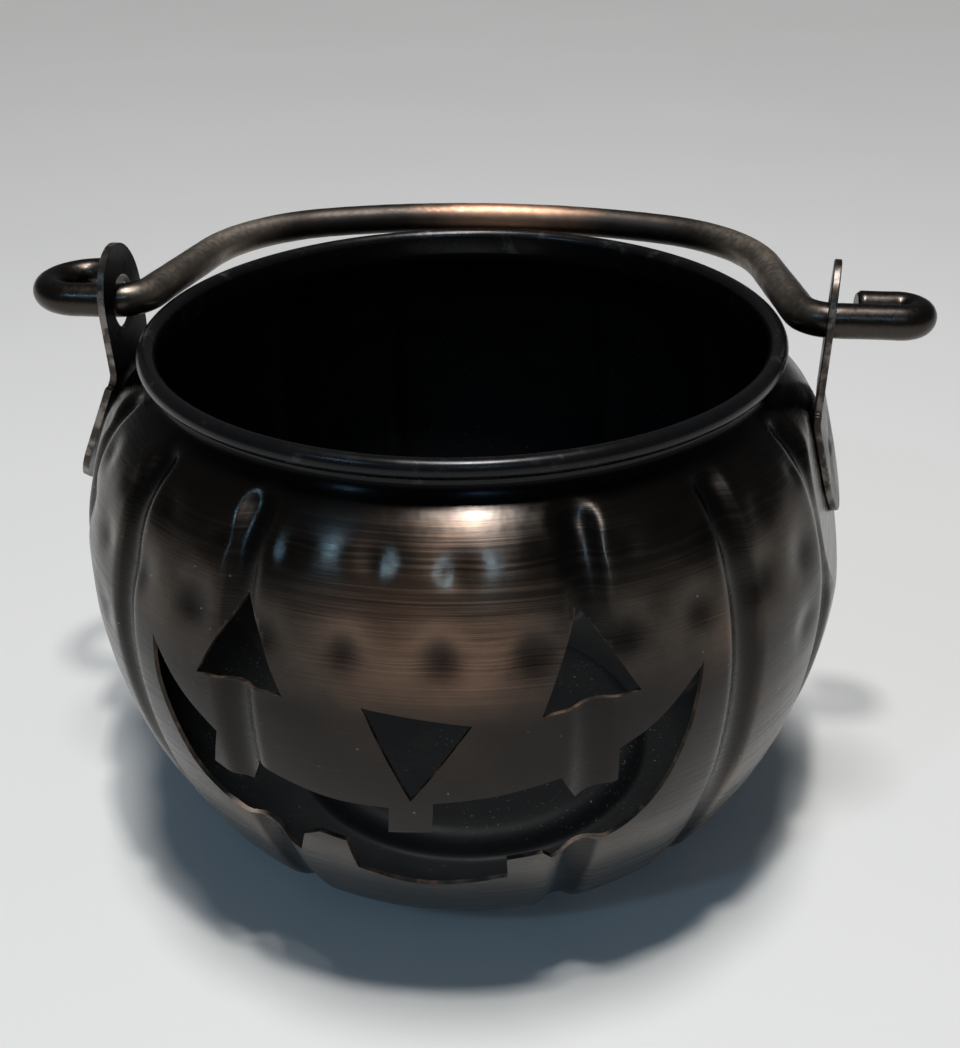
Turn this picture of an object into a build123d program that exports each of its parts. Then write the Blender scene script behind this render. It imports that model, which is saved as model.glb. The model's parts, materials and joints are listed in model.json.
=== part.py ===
from build123d import *
import os
from math import acos, atan2, cos, degrees, radians, sin, sqrt

# Pumpkin candy pail: a pressed sheet shell with a cut-out face, two ears and a wire bail.
# Millimetres, +Z up, origin on the floor under the middle of the pail.
# The face looks along -Y and the ears stand at -X and +X.

# Shell profile, outside surface
sheet = 1.0
belly_radius = 100.0
belly_height = 78.7
foot_inset = 43.0
corner_radius = 30.0
upper_radius = 80.0
upper_sweep = 25.0
shoulder_radius = 28.0
neck_inset = 22.7
neck_fillet = 3.0
neck_length = 4.26
bead_dia = 4.6

# Pressed base
rest_ring_width = 2.5
trough_radius = 3.0
riser_angle = 60.0
plateau_edge_radius = 4.0
plateau_rise = 6.0

# Upright flutes
flute_pitch = 22.5
flute_steps = (-7, -6, -5, -3, -2, -1, 1, 2, 3, 5, 6, 7)
flute_radius = 6.0
flute_depth = 1.9
flute_top_angle = 52.0
flute_low_angle = -62.0
flute_corner_shares = (0.0, 0.45)
flute_belly_shares = (0.03, 0.5)
flute_upper_shares = (0.06, 0.7)
flute_shoulder_shares = (0.25, 1.0)

# Face, laid out by angle round the pail and height above the chin, which hangs below the belly line
face_half_angle = 37.5
face_drop = 48.2
face_height = 78.0
cut_near_share = 0.70
cut_far_share = 1.10

# Ears, stood off from the rim and hung from the hinge line
ear_sheet = 1.8
ear_stand_off = 10.2
ear_lean = 25.0
ear_seat_gap = 0.1
ear_bend_radius = 6.0
ear_head_half_width = 12.5
ear_head_rise = 15.0
ear_neck_half_width = 12.0
ear_shoulder_drop = 19.6
ear_paddle_half_width = 14.0
ear_paddle_length = 31.0
ear_hole_dia = 13.8
weld_dia = 5.5
weld_depth = 0.4
weld_share = 0.48
left_ear_turn = 0.0
right_ear_turn = 9.0

# Bail, lying back on the rim
hinge_lift = 4.4
rod_dia = 8.8
rod_bend_reach = 3.55
rod_bend_radius = 8.5
leg_lean = 8.5
bail_corner_radius = 43.0
bail_crown_radius = 150.0
bail_stand_off = 5.65
curl_reach = 23.8
left_curl_radius = 10.5
left_curl_turn = 180.0
left_curl_tail = 4.0
right_curl_radius = 4.9
right_curl_turn = 180.0
right_curl_tail = 9.4

overrun = 5.0
touch = 0.001

# Derived places on the profile
neck_radius = belly_radius - neck_inset
bead_radius = bead_dia / 2
bead_centre = neck_radius - sheet + bead_radius
foot_radius = belly_radius - foot_inset
rest_ring_inner = foot_radius - rest_ring_width
foot_climb = belly_height - corner_radius
belly_arc = (foot_inset ** 2 + foot_climb ** 2 - corner_radius ** 2) / (2 * (foot_inset - corner_radius))
belly_centre = belly_radius - belly_arc
corner_angle = degrees(atan2(corner_radius - belly_height, foot_radius - belly_centre))
upper_centre = belly_radius - upper_radius
shoulder_r = upper_centre + (upper_radius - shoulder_radius) * cos(radians(upper_sweep))
shoulder_z = belly_height + (upper_radius - shoulder_radius) * sin(radians(upper_sweep))
fillet_r = neck_radius + neck_fillet
shoulder_angle = degrees(acos((fillet_r - shoulder_r) / (shoulder_radius + neck_fillet)))
fillet_z = shoulder_z + (shoulder_radius + neck_fillet) * sin(radians(shoulder_angle))
bead_height = fillet_z + neck_length
riser_drop = plateau_rise - (plateau_edge_radius + trough_radius) * (1 - cos(radians(riser_angle)))
riser_run = riser_drop * cos(radians(riser_angle)) / sin(radians(riser_angle))
bends_run = (trough_radius + plateau_edge_radius) * sin(radians(riser_angle))
plateau_radius = rest_ring_inner - bends_run - riser_run
face_bottom = belly_height - face_drop

# Derived places of the ears and the bail
hinge_height = bead_height + hinge_lift
ear_inner = bead_centre + ear_stand_off
ear_shoulder_height = hinge_height - ear_shoulder_drop
ear_bottom_height = ear_shoulder_height - ear_paddle_length
weld_height = ear_shoulder_height - ear_paddle_length * weld_share
rod_bend_start = ear_inner + rod_bend_reach
bail_reach = bead_centre + bail_stand_off
curl_end = ear_inner + curl_reach


def polar(centre_r, centre_z, radius, angle):
    turn = radians(angle)
    return (centre_r + radius * cos(turn), centre_z + radius * sin(turn))


def arc(centre_r, centre_z, radius, start, end):
    middle = (start + end) / 2
    return ThreePointArc(
        polar(centre_r, centre_z, radius, start),
        polar(centre_r, centre_z, radius, middle),
        polar(centre_r, centre_z, radius, end),
    )


def chain(arcs):
    # Straight lines fill the gaps between the arcs that follow each other.
    edges = []
    for piece in arcs:
        if edges and (edges[-1] @ 1 - piece @ 0).length > touch:
            edges.append(Line(edges[-1] @ 1, piece @ 0))
        edges.append(piece)
    return edges


def meridian(inset):
    # Underside and outside of the sheet at inset 0, its inner face at one sheet thickness.
    edge_z = plateau_rise - plateau_edge_radius
    riser_tilt = 90 - riser_angle
    start = Line((0, plateau_rise + inset), (plateau_radius, plateau_rise + inset))
    arcs = [
        start,
        arc(plateau_radius, edge_z, plateau_edge_radius + inset, 90, riser_tilt),
        arc(rest_ring_inner, trough_radius, trough_radius - inset, riser_tilt - 180, -90),
        arc(foot_radius, corner_radius, corner_radius - inset, -90, corner_angle),
        arc(belly_centre, belly_height, belly_arc - inset, corner_angle, 0),
        arc(upper_centre, belly_height, upper_radius - inset, 0, upper_sweep),
        arc(shoulder_r, shoulder_z, shoulder_radius - inset, upper_sweep, shoulder_angle),
        arc(fillet_r, fillet_z, neck_fillet + inset, shoulder_angle - 180, -180),
    ]
    return chain(arcs)


def bowl(inset):
    # Solid of everything inside that surface, up to the foot of the rolled rim.
    edges = meridian(inset)
    edges.append(Line(edges[-1] @ 1, (0, fillet_z)))
    edges.append(Line((0, fillet_z), edges[0] @ 0))
    return revolve(Plane.XZ * make_face(edges), Axis.Z)


def rolled_rim():
    inner = neck_radius - sheet
    under_angle = -degrees(acos((neck_radius - bead_centre) / bead_radius))
    curl = arc(bead_centre, bead_height, bead_radius, 180, under_angle)
    edges = [
        Line((inner, fillet_z), curl @ 0),
        curl,
        Line(curl @ 1, (neck_radius, fillet_z)),
        Line((neck_radius, fillet_z), (inner, fillet_z)),
    ]
    return revolve(Plane.XZ * make_face(edges), Axis.Z)


def flute_path():
    # Runs outside the sheet, so that a round bar along it presses in by the flute's depth.
    lift = flute_radius - flute_depth
    stretches = (
        (foot_radius, corner_radius, corner_radius, flute_low_angle, corner_angle, flute_corner_shares),
        (belly_centre, belly_height, belly_arc, corner_angle, 0, flute_belly_shares),
        (upper_centre, belly_height, upper_radius, 0, upper_sweep, flute_upper_shares),
        (shoulder_r, shoulder_z, shoulder_radius, upper_sweep, flute_top_angle, flute_shoulder_shares),
    )
    points = []
    for centre_r, centre_z, radius, start, end, shares in stretches:
        for share in shares:
            points.append(polar(centre_r, centre_z, radius + lift, start + (end - start) * share))
    return Plane.XZ * Wire([Spline(*points)])


def flute(radius):
    # A round bar with ball ends.
    line = flute_path()
    section = Plane(line @ 0, z_dir=line % 0) * Circle(radius)
    bar = sweep(section, path=line)
    low_ball = Pos(line @ 0) * Sphere(radius)
    top_ball = Pos(line @ 1) * Sphere(radius)
    return bar + low_ball + top_ball


def flutes(radius):
    bar = flute(radius)
    return [Rot(0, 0, flute_pitch * step) * bar for step in flute_steps]


def shell_radius(height):
    # Outside radius of the belly at a height within the face.
    climb = height - belly_height
    if climb > 0:
        return upper_centre + sqrt(upper_radius ** 2 - climb ** 2)
    return belly_centre + sqrt(belly_arc ** 2 - climb ** 2)


def face_point(angle_share, height_share, scale):
    # Seen from the middle of the belly and laid on a flat sheet in front of it.
    angle = radians(face_half_angle * angle_share)
    height = face_bottom + face_height * height_share
    slope = (height - belly_height) / (shell_radius(height) * cos(angle))
    across = sin(angle) / cos(angle)
    return (belly_radius * scale * across, belly_radius * scale * slope)


def face_edges(strokes, scale):
    # Two points make a straight edge, three an arc, more a curve.
    edges = []
    for stroke in strokes:
        points = [face_point(share[0], share[1], scale) for share in stroke]
        if len(points) == 2:
            edges.append(Line(*points))
        elif len(points) == 3:
            edges.append(ThreePointArc(*points))
        else:
            edges.append(Spline(*points))
    return edges


def face_cut(strokes):
    layers = []
    for scale in (cut_near_share, cut_far_share):
        sheet_plane = Plane((0, -belly_radius * scale, belly_height), x_dir=(1, 0, 0), z_dir=(0, -1, 0))
        layers.append(sheet_plane * make_face(face_edges(strokes, scale)))
    return loft(layers, ruled=True)


def straight_strokes(corners):
    return [(corners[step - 1], corners[step]) for step in range(len(corners))]


# Each point is (share of the half angle, share of the face height).
left_eye_shares = ((-0.571, 0.988), (-0.763, 0.714), (-0.413, 0.729))
right_eye_shares = ((0.565, 1.0), (0.427, 0.713), (0.760, 0.741))
nose_shares = ((-0.141, 0.740), (0.208, 0.701), (0.0, 0.428))
left_tip_share = (-0.992, 0.753)
right_tip_share = (1.003, 0.763)
upper_tooth_shares = (
    ((-0.707, 0.523), (-0.757, 0.387), (-0.613, 0.347), (-0.549, 0.456)),
    ((-0.075, 0.395), (-0.088, 0.286), (0.064, 0.301), (0.075, 0.424)),
    ((0.496, 0.496), (0.555, 0.392), (0.696, 0.442), (0.691, 0.563)),
)
upper_lip_shares = ((-0.860, 0.622), (-0.300, 0.402), (0.293, 0.454), (0.832, 0.631))
lower_tooth_shares = (
    ((0.493, 0.131), (0.456, 0.165), (0.325, 0.150), (0.333, 0.046)),
    ((-0.245, 0.058), (-0.256, 0.206), (-0.355, 0.222), (-0.429, 0.185), (-0.480, 0.077)),
)
right_cheek_shares = ((0.960, 0.545), (0.875, 0.340), (0.741, 0.209))
chin_share = (0.01, 0.0)
left_cheek_shares = ((-0.600, 0.150), (-0.800, 0.233), (-0.909, 0.345), (-0.989, 0.577))


def mouth_strokes():
    strokes = []
    last = left_tip_share
    for tooth, bow in zip(upper_tooth_shares, upper_lip_shares):
        strokes.append((last, bow, tooth[0]))
        strokes.extend(zip(tooth[:-1], tooth[1:]))
        last = tooth[-1]
    strokes.append((last, upper_lip_shares[-1], right_tip_share))
    right_tooth, left_tooth = lower_tooth_shares
    strokes.append((right_tip_share, *right_cheek_shares, right_tooth[0]))
    strokes.extend(zip(right_tooth[:-1], right_tooth[1:]))
    strokes.append((right_tooth[-1], chin_share, left_tooth[0]))
    strokes.extend(zip(left_tooth[:-1], left_tooth[1:]))
    strokes.append((left_tooth[-1], *left_cheek_shares, left_tip_share))
    return strokes


def pail_shell():
    outside = bowl(0)
    inside = bowl(sheet)
    outside = outside.cut(*flutes(flute_radius))
    inside = inside.cut(*flutes(flute_radius + sheet))
    shell = outside.cut(inside)
    shell = shell.fuse(rolled_rim())
    for corners in (left_eye_shares, right_eye_shares, nose_shares):
        shell = shell.cut(face_cut(straight_strokes(corners)))
    shell = shell.cut(face_cut(mouth_strokes()))
    return shell


def ear_seat():
    # Where the inner face of the paddle touches the shell.
    return polar(upper_centre, belly_height, upper_radius + ear_seat_gap, ear_lean)


def ear_band():
    # Side view: a leaning paddle that bends upright beside the rim.
    out = (cos(radians(ear_lean)), sin(radians(ear_lean)))
    seat = ear_seat()
    bend_x = ear_inner + ear_sheet + ear_bend_radius
    gap = ear_bend_radius + ear_sheet - (bend_x - seat[0]) * out[0]
    bend_z = seat[1] + gap / out[1]
    top = hinge_height + ear_head_rise + overrun
    low = ear_bottom_height - overrun
    inner = arc(bend_x, bend_z, ear_bend_radius + ear_sheet, ear_lean - 180, -180)
    outer = arc(bend_x, bend_z, ear_bend_radius, ear_lean - 180, -180)
    inner_foot = inner @ 0
    outer_foot = outer @ 0
    fall = out[1] / out[0]
    inner_low = (inner_foot.X + (inner_foot.Y - low) * fall, low)
    outer_low = (outer_foot.X + (outer_foot.Y - low) * fall, low)
    edges = [
        Line(inner_low, inner_foot),
        inner,
        Line(inner @ 1, (ear_inner, top)),
        Line((ear_inner, top), (ear_inner + ear_sheet, top)),
        Line((ear_inner + ear_sheet, top), outer @ 1),
        outer,
        Line(outer_foot, outer_low),
        Line(outer_low, inner_low),
    ]
    return extrude(Plane.XZ * make_face(edges), amount=ear_paddle_half_width + overrun, both=True)


def ear_outline():
    # Front view in Y and Z, from one shoulder round the head and back by the rounded paddle.
    paddle_turn = ear_bottom_height + ear_paddle_half_width
    neck = ear_neck_half_width
    half = ear_paddle_half_width
    edges = [
        EllipticalCenterArc((0, hinge_height), ear_head_half_width, ear_head_rise, 0, arc_size=180),
        Line((-ear_head_half_width, hinge_height), (-neck, ear_shoulder_height)),
        Line((-neck, ear_shoulder_height), (-half, ear_shoulder_height)),
        Line((-half, ear_shoulder_height), (-half, paddle_turn)),
        ThreePointArc((-half, paddle_turn), (0, ear_bottom_height), (half, paddle_turn)),
        Line((half, paddle_turn), (half, ear_shoulder_height)),
        Line((half, ear_shoulder_height), (neck, ear_shoulder_height)),
        Line((neck, ear_shoulder_height), (ear_head_half_width, hinge_height)),
    ]
    return make_face(edges)


def ear(turn):
    # Stands at +X. A turned ear lies on the shell further round and is slid back along its own plane.
    out = (cos(radians(ear_lean)), sin(radians(ear_lean)))
    seat = ear_seat()
    blank = extrude(Plane.YZ * ear_outline(), amount=belly_radius + ear_bend_radius)
    plate = ear_band() & blank
    hole = Pos(ear_inner, 0, hinge_height) * Rot(0, 90, 0) * Cylinder(ear_hole_dia / 2, 2 * overrun)
    slide = (weld_height - seat[1]) / out[0]
    face_x = seat[0] + ear_sheet * out[0] - slide * out[1]
    face_z = weld_height + ear_sheet * out[1]
    weld_plane = Plane((face_x, 0, face_z), z_dir=(out[0], 0, out[1]))
    weld = extrude(weld_plane * Circle(weld_dia / 2), amount=weld_depth, both=True)
    back = (ear_inner + ear_sheet / 2) * sin(radians(turn)) / cos(radians(turn))
    return Rot(0, 0, -turn) * Pos(0, back, 0) * (plate - hole - weld)


def bail_half(radius, turn, tail):
    # From the middle of the crown to the cut end of one curl, in the plane of the rim.
    lean_x = sin(radians(leg_lean))
    lean_y = cos(radians(leg_lean))
    leg_x = rod_bend_start - rod_bend_radius * lean_y
    leg_y = rod_bend_radius - rod_bend_radius * lean_x
    crown_y = bail_reach - bail_crown_radius
    gap_x = leg_x - bail_corner_radius * lean_y
    gap_y = leg_y - bail_corner_radius * lean_x - crown_y
    along = gap_y * lean_y - gap_x * lean_x
    reach = bail_crown_radius - bail_corner_radius
    leg_length = sqrt(along ** 2 - gap_x ** 2 - gap_y ** 2 + reach ** 2) - along
    corner_x = gap_x - leg_length * lean_x
    corner_y = gap_y + leg_length * lean_y
    crown_angle = degrees(atan2(corner_y, corner_x))
    corner_y = corner_y + crown_y
    crown = arc(0, crown_y, bail_crown_radius, 90, crown_angle)
    corner = arc(corner_x, corner_y, bail_corner_radius, crown_angle, leg_lean)
    bend = arc(rod_bend_start, rod_bend_radius, rod_bend_radius, leg_lean - 180, -90)
    curl_x = curl_end - radius
    curl = arc(curl_x, radius, radius, -90, turn - 90)
    end = curl @ 1
    way = radians(turn)
    end_line = Line(end, (end.X + tail * cos(way), end.Y + tail * sin(way)))
    path = [Pos(0, 0, hinge_height) * edge for edge in chain([crown, corner, bend, curl, end_line])]
    section = Plane((0, bail_reach, hinge_height), z_dir=(1, 0, 0)) * Circle(rod_dia / 2)
    return sweep(section, path=Wire(path))


def bail():
    left = mirror(bail_half(left_curl_radius, left_curl_turn, left_curl_tail), about=Plane.YZ)
    right = bail_half(right_curl_radius, right_curl_turn, right_curl_tail)
    return left + right


os.makedirs("parts", exist_ok=True)
export_step(pail_shell(), "parts/pail_shell.step")
export_step(ear(right_ear_turn), "parts/ear_right.step")
export_step(mirror(ear(left_ear_turn), about=Plane.YZ), "parts/ear_left.step")
export_step(bail(), "parts/bail.step")
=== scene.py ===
import json
import math

import bmesh
import bpy
import numpy as np
from mathutils import Matrix, Vector

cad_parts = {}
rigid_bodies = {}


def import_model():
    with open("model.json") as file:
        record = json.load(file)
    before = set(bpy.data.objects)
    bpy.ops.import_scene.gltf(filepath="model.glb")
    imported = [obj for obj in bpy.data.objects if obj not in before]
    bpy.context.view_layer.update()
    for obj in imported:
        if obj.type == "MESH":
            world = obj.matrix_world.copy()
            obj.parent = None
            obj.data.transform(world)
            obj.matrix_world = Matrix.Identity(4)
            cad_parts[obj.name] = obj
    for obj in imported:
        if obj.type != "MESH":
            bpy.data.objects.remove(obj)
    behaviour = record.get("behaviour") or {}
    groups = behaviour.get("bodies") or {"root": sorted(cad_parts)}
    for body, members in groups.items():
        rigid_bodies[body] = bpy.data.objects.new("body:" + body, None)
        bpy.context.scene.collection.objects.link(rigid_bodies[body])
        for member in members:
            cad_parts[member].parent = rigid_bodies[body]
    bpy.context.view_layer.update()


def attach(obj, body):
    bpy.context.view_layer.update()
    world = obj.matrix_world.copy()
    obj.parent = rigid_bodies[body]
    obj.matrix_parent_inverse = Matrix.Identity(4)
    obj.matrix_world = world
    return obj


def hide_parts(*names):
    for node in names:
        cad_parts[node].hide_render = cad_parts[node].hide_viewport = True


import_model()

# Metres, in the frame of the solids: +Z up, the face looks along -Y, the ears stand at -X and +X.
# Angles are degrees. Points closer than touch are one point.
touch = 1e-7

# Shell profile, the same named sizes as the solid
sheet = 0.0010
belly_radius = 0.1000
belly_height = 0.0787
foot_radius = 0.0570
corner_radius = 0.0300
upper_radius = 0.0800
upper_sweep = 25.0
shoulder_radius = 0.0280
neck_radius = 0.0773
neck_fillet = 0.0030
neck_length = 0.00426
bead_radius = 0.0023
rest_ring_inner = 0.0545
trough_radius = 0.0030
riser_angle = 60.0
plateau_edge_radius = 0.0040
plateau_rise = 0.0060
shell_step = 0.0014
shell_around = 512
shell_sharp_angle = 35.0

# Flutes pressed into the sheet
flute_pitch = 22.5
flute_steps = (-7, -6, -5, -3, -2, -1, 1, 2, 3, 5, 6, 7)
flute_radius = 0.0060
flute_depth = 0.0019
flute_top_angle = 52.0
flute_low_angle = -62.0
flute_edge_softness = 0.0010

# Dimples hammered into the sheet
dimple_radius = 0.0047
dimple_depth = 0.0009
dimple_wander = 0.0013
dimple_seed = 3
dimple_pitch = 11.25
# Each row is (height above the floor, first angle, clear angle beside the face, size shares).
dimple_rows = (
    (0.1170, 6.75, 0.0, (0.75, 0.85, 0.7, 0.9, 0.8)),
    (0.1015, 3.6, 0.0, (1.1, 1.2, 1.05, 1.0)),
    (0.0825, 3.6, 45.0, (0.9, 0.0, 1.0)),
)

# Face
face_half_angle = 37.5
face_bottom = 0.0305
face_height = 0.0780
cut_near_share = 0.70
cut_far_share = 1.10
curve_steps = 14

# Face cut-outs, as (share of the half angle, share of the face height)
left_eye_shares = ((-0.571, 0.988), (-0.763, 0.714), (-0.413, 0.729))
right_eye_shares = ((0.565, 1.0), (0.427, 0.713), (0.760, 0.741))
nose_shares = ((-0.141, 0.740), (0.208, 0.701), (0.0, 0.428))
left_tip_share = (-0.992, 0.753)
right_tip_share = (1.003, 0.763)
upper_tooth_shares = (
    ((-0.707, 0.523), (-0.757, 0.387), (-0.613, 0.347), (-0.549, 0.456)),
    ((-0.075, 0.395), (-0.088, 0.286), (0.064, 0.301), (0.075, 0.424)),
    ((0.496, 0.496), (0.555, 0.392), (0.696, 0.442), (0.691, 0.563)),
)
upper_lip_shares = ((-0.860, 0.622), (-0.300, 0.402), (0.293, 0.454), (0.832, 0.631))
lower_tooth_shares = (
    ((0.493, 0.131), (0.456, 0.165), (0.325, 0.150), (0.333, 0.046)),
    ((-0.245, 0.058), (-0.256, 0.206), (-0.355, 0.222), (-0.429, 0.185), (-0.480, 0.077)),
)
right_cheek_shares = ((0.960, 0.545), (0.875, 0.340), (0.741, 0.209))
chin_share = (0.01, 0.0)
left_cheek_shares = ((-0.600, 0.150), (-0.800, 0.233), (-0.909, 0.345), (-0.989, 0.577))

# Ears
ear_sheet = 0.0018
ear_inner = 0.0888
ear_seat_gap = 0.0001
ear_bend_radius = 0.0060
ear_head_half_width = 0.0125
ear_head_rise = 0.0150
ear_head_steps = 48
ear_neck_half_width = 0.0120
ear_shoulder_drop = 0.0196
ear_paddle_half_width = 0.0140
ear_paddle_length = 0.0310
ear_hole_radius = 0.0069
ear_slices = 16
ear_slice_share = 0.6
ear_edge_round = 0.00035
ear_edge_segments = 2
ear_edge_angle = 50.0
ear_merge_angle = 0.5
ear_sharp_angle = 30.0
weld_radius = 0.00275
weld_depth = 0.0004
weld_share = 0.48
weld_ring_shares = (1.0, 0.72, 0.40)
weld_arc_steps = 5

# Each ear by itself: the right one lies on a flat that is pressed into the shell.
left_ear_turn = 0.0
left_ear_lean = 25.0
left_ear_press = 0.0
right_ear_turn = 9.0
right_ear_lean = 16.0
right_ear_press = 0.0040
flat_softness = 0.0005
flat_least_facing = 0.5

# Bail, with each curl as (radius, turn, tail)
hinge_lift = 0.0044
rod_radius = 0.0044
rod_bend_start = 0.09235
rod_bend_radius = 0.0085
leg_lean = 8.5
bail_corner_radius = 0.0430
bail_crown_radius = 0.1500
bail_reach = 0.08425
curl_end = 0.1126
left_curl = (0.0105, 180.0, 0.0040)
right_curl = (0.0049, 180.0, 0.0094)
rod_step = 0.0010
rod_around = 32
rod_end_round = 0.0007
rod_sharp_angle = 40.0
hammer_depth = 0.00012
hammer_passes = 3
hammer_seed = 7

# Camera, fitted to the photograph
picture_width = 960.0
focal_pixels = 1200.0
sensor_width = 36.0
camera_across = 0.0037
camera_back = 0.2897
camera_height = 0.2423
camera_pitch = 30.01
camera_roll = -0.79
camera_near = 0.01
pail_turn = 6.90

# Floor and lights
floor_reach = 12.0
sky_power = 1.75
sky_spread = 14.0
sky_way = (0.0, -0.06, -1.0)
lamp_target = (0.0, 0.0, 0.08)
top_spot = (0.05, -0.14, 0.95)
top_size = (0.06, 0.06)
top_power = 3.4
top_tint = (1.0, 0.98, 0.95)
left_window_spot = (-0.83, -1.04, 1.30)
left_window_size = (0.13, 0.16)
left_window_power = 1.9
right_window_spot = (0.32, -1.31, 1.30)
right_window_size = (0.11, 0.14)
right_window_power = 1.5
window_tint = (0.32, 0.66, 1.0)
room_strength = 0.09

# Derived places and steps of the shell
bead_centre = neck_radius - sheet + bead_radius
bead_step = shell_step / 3
foot_run = belly_radius - foot_radius
foot_climb = belly_height - corner_radius
belly_arc = (foot_run ** 2 + foot_climb ** 2 - corner_radius ** 2) / (2 * (foot_run - corner_radius))
belly_centre = belly_radius - belly_arc
corner_angle = math.degrees(math.atan2(corner_radius - belly_height, foot_radius - belly_centre))
upper_centre = belly_radius - upper_radius
upper_gap = upper_radius - shoulder_radius
shoulder_r = upper_centre + upper_gap * math.cos(math.radians(upper_sweep))
shoulder_z = belly_height + upper_gap * math.sin(math.radians(upper_sweep))
shoulder_start = shoulder_z + shoulder_radius * math.sin(math.radians(upper_sweep))
fillet_r = neck_radius + neck_fillet
shoulder_angle = math.degrees(math.acos((fillet_r - shoulder_r) / (shoulder_radius + neck_fillet)))
fillet_z = shoulder_z + (shoulder_radius + neck_fillet) * math.sin(math.radians(shoulder_angle))
bead_height = fillet_z + neck_length
bends_radius = plateau_edge_radius + trough_radius
riser_drop = plateau_rise - bends_radius * (1 - math.cos(math.radians(riser_angle)))
riser_run = riser_drop / math.tan(math.radians(riser_angle))
bends_run = bends_radius * math.sin(math.radians(riser_angle))
plateau_radius = rest_ring_inner - bends_run - riser_run
plateau_step = 3 * shell_step
flute_reach = 3 * flute_radius

# Derived places and steps of the ears and the flat
hinge_height = bead_height + hinge_lift
ear_shoulder_height = hinge_height - ear_shoulder_drop
ear_bottom_height = ear_shoulder_height - ear_paddle_length
weld_height = ear_shoulder_height - ear_paddle_length * weld_share
ear_step = ear_sheet / 2
ear_hole_step = ear_step / 2
ear_slice_start = ear_shoulder_height - ear_sheet
flat_bottom = ear_bottom_height - ear_paddle_length
flat_reach = 3 * flat_softness


# Curves in a plane

def polar(centre_a, centre_b, radius, angle):
    turn = math.radians(angle)
    return (centre_a + radius * math.cos(turn), centre_b + radius * math.sin(turn))


def arc_points(centre_a, centre_b, radius, start, end, step):
    count = max(2, math.ceil(abs(math.radians(end - start)) * radius / step))
    angles = [start + (end - start) * index / count for index in range(count + 1)]
    return [polar(centre_a, centre_b, radius, angle) for angle in angles]


def line_points(start, end, step):
    count = max(1, math.ceil(math.dist(start, end) / step))
    points = []
    for index in range(count + 1):
        share = index / count
        points.append(tuple(a + (b - a) * share for a, b in zip(start, end)))
    return points


def joined(runs):
    points = []
    for run in runs:
        for point in run:
            if not points or math.dist(points[-1], point) > touch:
                points.append(point)
    return points


# Shell

def meridian():
    # Outside of the sheet from the middle of the base to the top of the neck.
    edge_z = plateau_rise - plateau_edge_radius
    riser_tilt = 90 - riser_angle
    edge = arc_points(plateau_radius, edge_z, plateau_edge_radius, 90, riser_tilt, shell_step)
    trough = arc_points(rest_ring_inner, trough_radius, trough_radius, riser_tilt - 180, -90, shell_step)
    corner = arc_points(foot_radius, corner_radius, corner_radius, -90, corner_angle, shell_step)
    belly = arc_points(belly_centre, belly_height, belly_arc, corner_angle, 0, shell_step)
    upper = arc_points(upper_centre, belly_height, upper_radius, 0, upper_sweep, shell_step)
    shoulder = arc_points(
        shoulder_r, shoulder_z, shoulder_radius, upper_sweep, shoulder_angle, shell_step
    )
    fillet = arc_points(fillet_r, fillet_z, neck_fillet, shoulder_angle - 180, -180, shell_step)
    plateau = line_points((0, plateau_rise), edge[0], plateau_step)
    riser = line_points(edge[-1], trough[0], shell_step)
    ring = line_points(trough[-1], corner[0], shell_step)
    runs = [plateau, edge, riser, trough, ring, corner, belly, upper, shoulder, fillet]
    return np.array(joined(runs))


def outward(points):
    along = np.gradient(points, axis=0)
    along /= np.linalg.norm(along, axis=1)[:, None]
    normals = np.stack([along[:, 1], -along[:, 0]], axis=1)
    normals[0] = (0, -1)
    return normals


def run_length(points):
    steps = np.linalg.norm(np.diff(points, axis=0), axis=1)
    return np.concatenate([[0], np.cumsum(steps)])


def nearest_length(points, lengths, place):
    return lengths[np.argmin(np.linalg.norm(points - np.array(place), axis=1))]


def shell_radius(height):
    # Outside radius of the body at a height above its foot.
    climb = height - belly_height
    if height > shoulder_start:
        return shoulder_r + math.sqrt(shoulder_radius ** 2 - (height - shoulder_z) ** 2)
    if climb > 0:
        return upper_centre + math.sqrt(upper_radius ** 2 - climb ** 2)
    return belly_centre + math.sqrt(belly_arc ** 2 - climb ** 2)


def angle_between(angles, angle):
    return (angles - np.radians(angle) + np.pi) % (2 * np.pi) - np.pi


def softened(level, softness):
    # The level where it is above 0, else 0, with a rounded turn between them.
    return (level + np.sqrt(level ** 2 + softness ** 2)) / 2


def flute_depths(points, lengths, angles):
    # How far the flutes press the sheet in, round the pail and along the meridian.
    low_end = polar(foot_radius, corner_radius, corner_radius, flute_low_angle)
    top_end = polar(shoulder_r, shoulder_z, shoulder_radius, flute_top_angle)
    low = nearest_length(points, lengths, low_end)
    top = nearest_length(points, lengths, top_end)
    past = np.maximum(0, np.maximum(low - lengths, lengths - top))[None, :]
    radius = points[:, 0][None, :]
    depth = np.zeros((len(angles), len(points)))
    lift = flute_radius - flute_depth
    for step in flute_steps:
        # Steps count from +X, angles from the face.
        apart = np.abs(angle_between(angles, flute_pitch * step + 90))[:, None]
        across = np.hypot(np.minimum(apart, np.pi / 2) * radius, past)
        inside = np.sqrt(np.maximum(flute_radius ** 2 - across ** 2, 0))
        level = inside - lift - np.maximum(across - flute_radius, 0)
        soft = softened(level, flute_edge_softness)
        depth = np.maximum(depth, np.where(across < flute_reach, soft, 0))
    return depth


def dimple_places():
    generator = np.random.default_rng(dimple_seed)
    places = []
    count = round(360 / dimple_pitch)
    for height, first, clear, sizes in dimple_rows:
        for index in range(count):
            aside, above = generator.uniform(-1, 1, 2)
            angle = first + index * dimple_pitch + math.degrees(aside * dimple_wander / belly_radius)
            if clear <= angle <= 360 - clear:
                places.append((angle, height + above * dimple_wander, sizes[index % len(sizes)]))
    return places


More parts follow.
